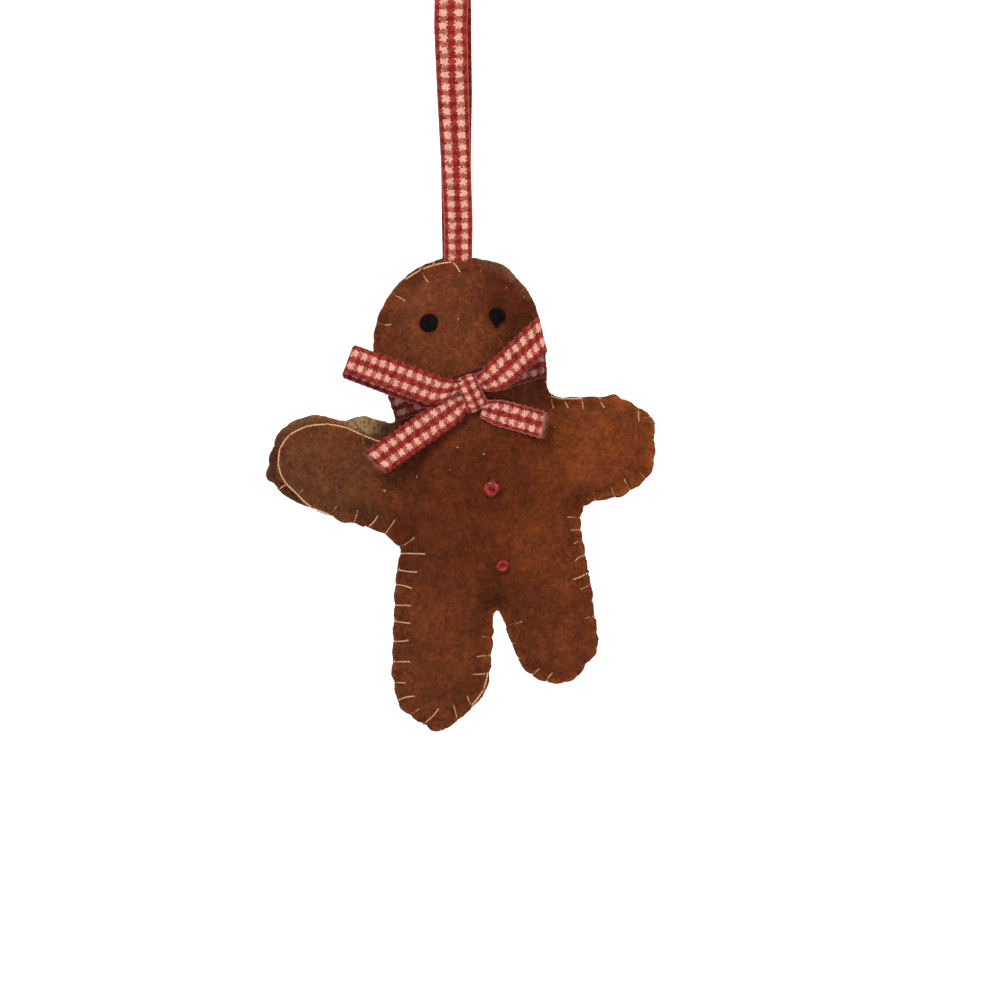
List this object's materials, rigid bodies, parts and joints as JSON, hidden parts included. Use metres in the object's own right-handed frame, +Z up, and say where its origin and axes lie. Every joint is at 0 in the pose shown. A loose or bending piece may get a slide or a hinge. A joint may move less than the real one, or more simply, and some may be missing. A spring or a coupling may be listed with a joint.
{
  "type": "gingerbread man ornament",
  "caption": "Stuffed felt gingerbread man, blanket stitched round its edge, with a ribbon bow at the neck and a ribbon loop to hang it by.",
  "frame": {"origin": "inside top of the hanging loop, where a hook or a twig carries the ribbon", "axes": "+Z up along the hanging ribbon, the front of the figure faces -Y, +X to the right as seen from the front"},
  "size_m": [0.0797, 0.0195, 0.1649],
  "materials": {
    "brown_felt": "matt felt",
    "brown_felt_back": "matt felt",
    "fibre_filling": "loose fibre",
    "stitching_thread": "twisted cotton",
    "eye_thread": "matt wound thread",
    "red_bead": "glossy glass",
    "red_thread": "sewing thread",
    "gingham_ribbon": "woven red and cream check"
  },
  "bodies": {
    "hanging_loop": {"hanging_ribbon": "gingham_ribbon"},
    "figure": {"front_felt": "brown_felt", "back_felt": "brown_felt_back", "filling_head": "fibre_filling", "filling_left_arm": "fibre_filling", "filling_right_arm": "fibre_filling", "filling_left_leg": "fibre_filling", "filling_right_leg": "fibre_filling", "filling_body": "fibre_filling", "blanket_stitch_thread": "stitching_thread", "hanging_ribbon_sewn_ends": "gingham_ribbon", "left_eye": "eye_thread", "right_eye": "eye_thread", "upper_button_bead": "red_bead", "upper_bead_thread": "red_thread", "lower_button_bead": "red_bead", "lower_bead_thread": "red_thread", "neck_ribbon": "gingham_ribbon", "bow_knot": "gingham_ribbon"},
    "left_loop": {"bow_left_loop": "gingham_ribbon"},
    "right_loop": {"bow_right_loop": "gingham_ribbon"},
    "left_tail": {"bow_left_tail": "gingham_ribbon"},
    "right_tail": {"bow_right_tail": "gingham_ribbon"}
  },
  "joints": [
    {"name": "figure_swing", "type": "hinge", "parent": "hanging_loop", "child": "figure", "pos_m": [0, 0, -0.0676], "axis": [1, 0, 0], "range_deg": [-90, 90]},
    {"name": "left_loop_lift", "type": "hinge", "parent": "figure", "child": "left_loop", "pos_m": [-0.00068, -0.00848, -0.09549], "axis": [0.2756, 0, 0.9613], "range_deg": [0, 45], "stiffness_Nm_per_rad": 0.0001},
    {"name": "right_loop_lift", "type": "hinge", "parent": "figure", "child": "right_loop", "pos_m": [0.00559, -0.00848, -0.09413], "axis": [0.7193, 0, -0.6947], "range_deg": [0, 45], "stiffness_Nm_per_rad": 0.0001},
    {"name": "left_tail_lift", "type": "hinge", "parent": "figure", "child": "left_tail", "pos_m": [0.00069, -0.00848, -0.09835], "axis": [-0.5736, 0, 0.8192], "range_deg": [0, 45], "stiffness_Nm_per_rad": 0.0001},
    {"name": "right_tail_lift", "type": "hinge", "parent": "figure", "child": "right_tail", "pos_m": [0.00696, -0.00848, -0.09813], "axis": [-0.3746, 0, -0.9272], "range_deg": [0, 45], "stiffness_Nm_per_rad": 0.0001}
  ]
}
